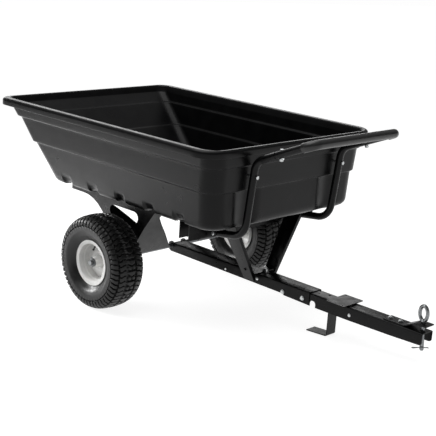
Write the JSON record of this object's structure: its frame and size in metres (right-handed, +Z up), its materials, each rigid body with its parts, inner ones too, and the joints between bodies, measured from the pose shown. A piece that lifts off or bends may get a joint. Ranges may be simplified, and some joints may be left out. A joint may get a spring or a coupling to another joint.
{
  "type": "tow-behind garden cart",
  "caption": "Moulded tipping tub on a two-wheeled channel-steel drawbar, with a tubular push handle, a foot latch, a parking stand and a pin hitch.",
  "frame": {"origin": "middle of the cart's length and width, on the ground that the tyres and the stand touch", "axes": "+X forward to the hitch, +Y to the cart's left, +Z up"},
  "size_m": [1.8527, 0.9652, 0.7774],
  "materials": {
    "tub_plastic": "moulded polyethylene, satin black",
    "black_steel": "black powder coat",
    "zinc": "zinc plate",
    "tyre": "matt black rubber",
    "rim_paint": "light grey paint",
    "nylon": "nylon",
    "grip_foam": "black grip foam",
    "spring_steel": "spring steel"
  },
  "bodies": {
    "drawbar": {"drawbar_rear": "black_steel", "drawbar_front": "black_steel", "axle": "zinc", "joint_bolt_rear": "zinc", "joint_nut_rear": "zinc", "joint_bolt_front": "zinc", "joint_nut_front": "zinc", "latch_bolt": "zinc", "spring_bolt": "zinc", "pedal_bolt": "zinc", "stand": "black_steel", "stand_rivet_left": "zinc", "stand_rivet_right": "zinc", "hitch_plate": "black_steel", "hitch_bolt_rear": "zinc", "hitch_bolt_front": "zinc", "washer_left": "zinc", "washer_right": "zinc", "axle_clip_left": "zinc", "axle_clip_right": "zinc", "latch_spring": "spring_steel"},
    "tub_unit": {"tub": "tub_plastic", "cross_member": "black_steel", "latch_saddle": "black_steel", "handle_bar": "black_steel", "handle_grip": "grip_foam", "brace_left": "black_steel", "brace_right": "black_steel", "axle_bracket_left": "black_steel", "axle_bracket_right": "black_steel", "axle_bush_left": "nylon", "axle_bush_right": "nylon", "handle_leg_left": "black_steel", "handle_leg_right": "black_steel", "handle_bolt_left": "zinc", "handle_bolt_right": "zinc", "wall_bolt_left": "zinc", "wall_bolt_right": "zinc", "run_bolt_left": "zinc", "run_bolt_right": "zinc", "saddle_bolt_left": "black_steel", "saddle_bolt_right": "black_steel", "bracket_bolt_left": "zinc", "bracket_bolt_right": "zinc", "member_bolt_left": "zinc", "member_bolt_right": "zinc"},
    "wheel_left": {"tyre_left": "tyre", "rim_left": "rim_paint", "wheel_bush_left": "nylon", "valve_left": "tyre"},
    "wheel_right": {"tyre_right": "tyre", "rim_right": "rim_paint", "wheel_bush_right": "nylon", "valve_right": "tyre"},
    "latch_pedal": {"latch_pedal": "black_steel"},
    "latch_rod": {"latch_rod": "zinc"},
    "latch_hook": {"latch_hook": "zinc"},
    "hitch_pin": {"hitch_pin": "zinc"},
    "hitch_clip": {"hitch_clip": "spring_steel"}
  },
  "joints": [
    {"name": "tub_dump", "type": "hinge", "parent": "drawbar", "child": "tub_unit", "pos_m": [-0.32032, 0, 0.1865], "axis": [0, -1, 0], "range_deg": [0, 50]},
    {"name": "wheel_left_spin", "type": "hinge", "parent": "drawbar", "child": "wheel_left", "pos_m": [-0.32032, 0.408, 0.1865], "axis": [0, 1, 0], "continuous": true},
    {"name": "wheel_right_spin", "type": "hinge", "parent": "drawbar", "child": "wheel_right", "pos_m": [-0.32032, -0.408, 0.1865], "axis": [0, 1, 0], "continuous": true},
    {"name": "pedal_press", "type": "hinge", "parent": "drawbar", "child": "latch_pedal", "pos_m": [0.60955, 0, 0.10873], "axis": [0, 1, 0], "range_deg": [0, 25], "stiffness_Nm_per_rad": 1.2, "springref_deg": -28.65},
    {"name": "rod_travel", "type": "slide", "parent": "drawbar", "child": "latch_rod", "axis": [0.9611, 0, -0.2763], "range_m": [0, 0.00564]},
    {"name": "hook_swing", "type": "hinge", "parent": "drawbar", "child": "latch_hook", "pos_m": [0.16409, 0, 0.14731], "axis": [0, 1, 0], "range_deg": [0, 25.01], "deforming": ["latch_spring"]},
    {"name": "pin_lift", "type": "slide", "parent": "drawbar", "child": "hitch_pin", "axis": [0, 0, 1], "range_m": [0, 0.012]},
    {"name": "clip_pull", "type": "slide", "parent": "hitch_pin", "child": "hitch_clip", "axis": [-0.7071, -0.7071, 0], "range_m": [0, 0.034]}
  ],
  "couplings": [
    {"joint": "rod_travel", "follows": "pedal_press", "m_per_rad": 0.012897},
    {"joint": "hook_swing", "follows": "pedal_press", "ratio": 1}
  ]
}
